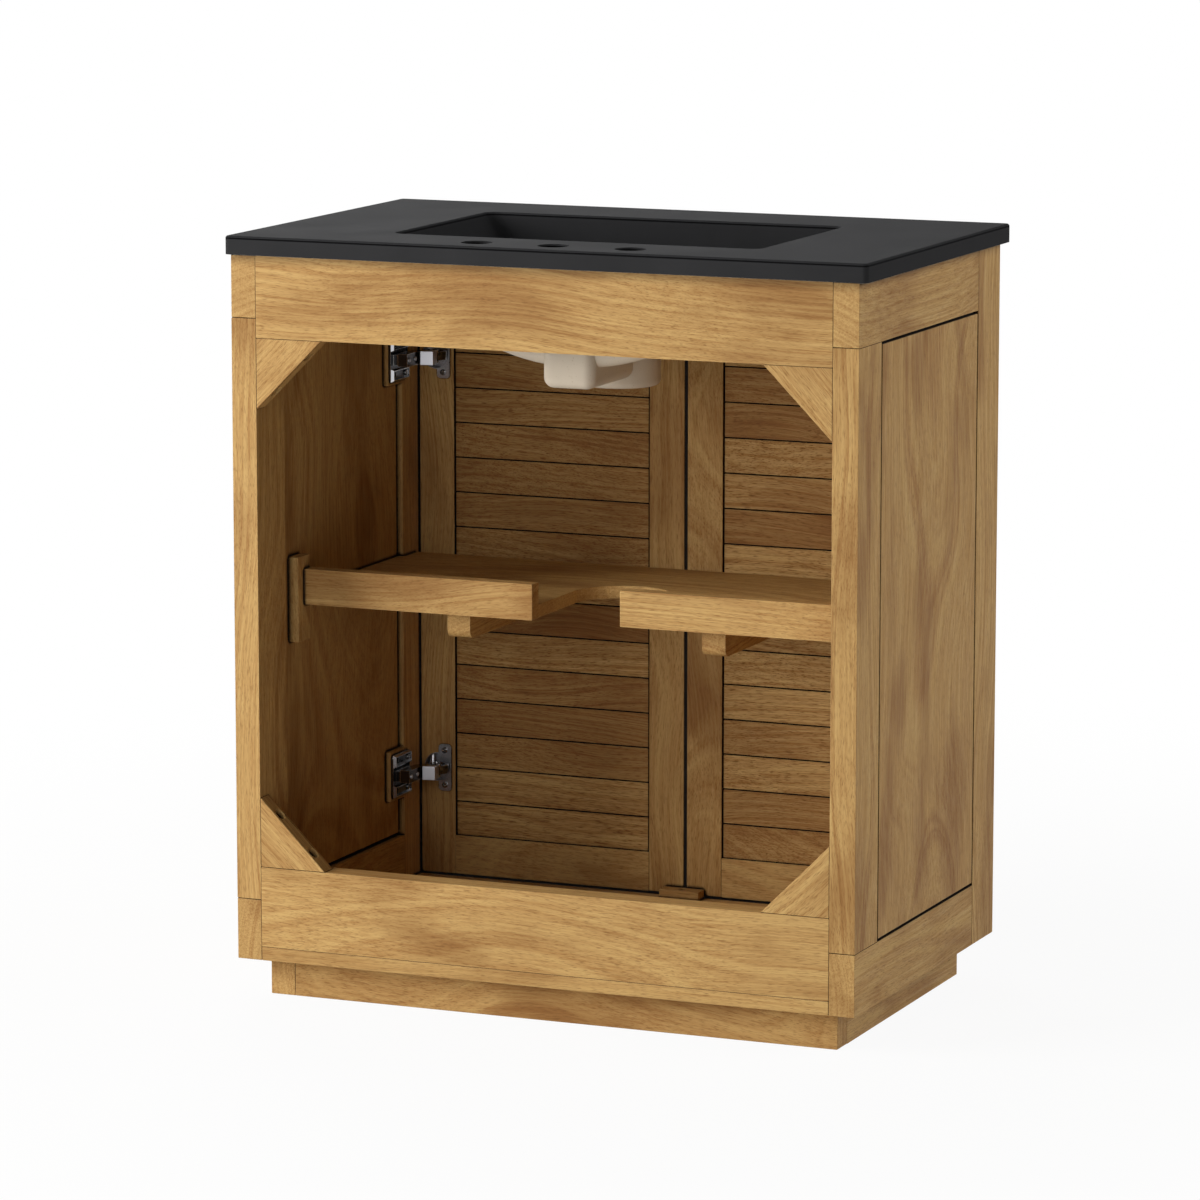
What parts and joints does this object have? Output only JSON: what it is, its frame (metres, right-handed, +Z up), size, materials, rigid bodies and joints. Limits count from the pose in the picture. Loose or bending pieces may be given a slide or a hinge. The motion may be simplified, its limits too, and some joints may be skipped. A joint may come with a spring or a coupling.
{
  "type": "vanity unit",
  "caption": "Freestanding bathroom vanity: wooden cabinet with slatted doors, a shelf and an open back for plumbing, under a black ceramic top with a trough basin.",
  "frame": {"origin": "on the floor, under the middle of the top's outline", "axes": "+Z up, -Y out of the doors, +Y out of the open back, +X to the right of a person facing the doors"},
  "size_m": [0.762, 0.47, 0.866],
  "materials": {
    "glazed_ceramic": "opaque matt black glazed ceramic, unglazed off-white underneath",
    "wood": "satin clear-finished hardwood",
    "hinge_steel": "black nickel plated steel",
    "screw_steel": "dark plated steel"
  },
  "bodies": {
    "carcass": {"back_bottom_rail": "wood", "back_top_rail": "wood", "bottom_board": "wood", "door_stop_block": "wood", "door_stop_screw": "screw_steel", "front_top_rail": "wood", "gusset_screws": "screw_steel", "hinge_plate_screws": "screw_steel", "left_front_stile": "wood", "left_hinge_plates": "hinge_steel", "left_rear_stile": "wood", "left_shelf_cleat": "wood", "left_shelf_joist": "wood", "left_shelf_lip": "wood", "left_side_bottom_rail": "wood", "left_side_panel": "wood", "left_side_top_rail": "wood", "lower_left_gusset": "wood", "lower_left_hinge_arm": "hinge_steel", "lower_right_gusset": "wood", "lower_right_hinge_arm": "hinge_steel", "plinth_back": "wood", "plinth_front": "wood", "plinth_left": "wood", "plinth_right": "wood", "right_front_stile": "wood", "right_hinge_plates": "hinge_steel", "right_rear_stile": "wood", "right_shelf_cleat": "wood", "right_shelf_joist": "wood", "right_shelf_lip": "wood", "right_side_bottom_rail": "wood", "right_side_panel": "wood", "right_side_top_rail": "wood", "shelf_board": "wood", "upper_left_gusset": "wood", "upper_left_hinge_arm": "hinge_steel", "upper_right_gusset": "wood", "upper_right_hinge_arm": "hinge_steel", "vanity_top": "glazed_ceramic"},
    "right_hinge_links": {"lower_right_hinge_link": "hinge_steel", "upper_right_hinge_link": "hinge_steel"},
    "right_door": {"lower_right_hinge_cup": "hinge_steel", "right_door_bottom_rail": "wood", "right_door_hinge_stile": "wood", "right_door_meeting_stile": "wood", "right_door_slats": "wood", "right_door_top_rail": "wood", "right_hinge_cup_screws": "screw_steel", "upper_right_hinge_cup": "hinge_steel"},
    "left_hinge_links": {"lower_left_hinge_link": "hinge_steel", "upper_left_hinge_link": "hinge_steel"},
    "left_door": {"left_door_bottom_rail": "wood", "left_door_hinge_stile": "wood", "left_door_meeting_stile": "wood", "left_door_slats": "wood", "left_door_top_rail": "wood", "left_hinge_cup_screws": "screw_steel", "lower_left_hinge_cup": "hinge_steel", "upper_left_hinge_cup": "hinge_steel"}
  },
  "joints": [
    {"name": "right_hinge_links_turn", "type": "hinge", "parent": "carcass", "child": "right_hinge_links", "pos_m": [0.311, -0.1755, 0.43925], "axis": [0, 0, 1], "range_deg": [-52, 0]},
    {"name": "right_door_turn", "type": "hinge", "parent": "right_hinge_links", "child": "right_door", "pos_m": [0.327, -0.199, 0.43925], "axis": [0, 0, 1], "range_deg": [0, 147]},
    {"name": "left_hinge_links_turn", "type": "hinge", "parent": "carcass", "child": "left_hinge_links", "pos_m": [-0.311, -0.1755, 0.43925], "axis": [0, 0, -1], "range_deg": [-52, 0]},
    {"name": "left_door_turn", "type": "hinge", "parent": "left_hinge_links", "child": "left_door", "pos_m": [-0.327, -0.199, 0.43925], "axis": [0, 0, -1], "range_deg": [0, 147]}
  ],
  "couplings": [
    {"joint": "right_hinge_links_turn", "follows": "right_door_turn", "ratio": -0.35374},
    {"joint": "left_hinge_links_turn", "follows": "left_door_turn", "ratio": -0.35374}
  ]
}
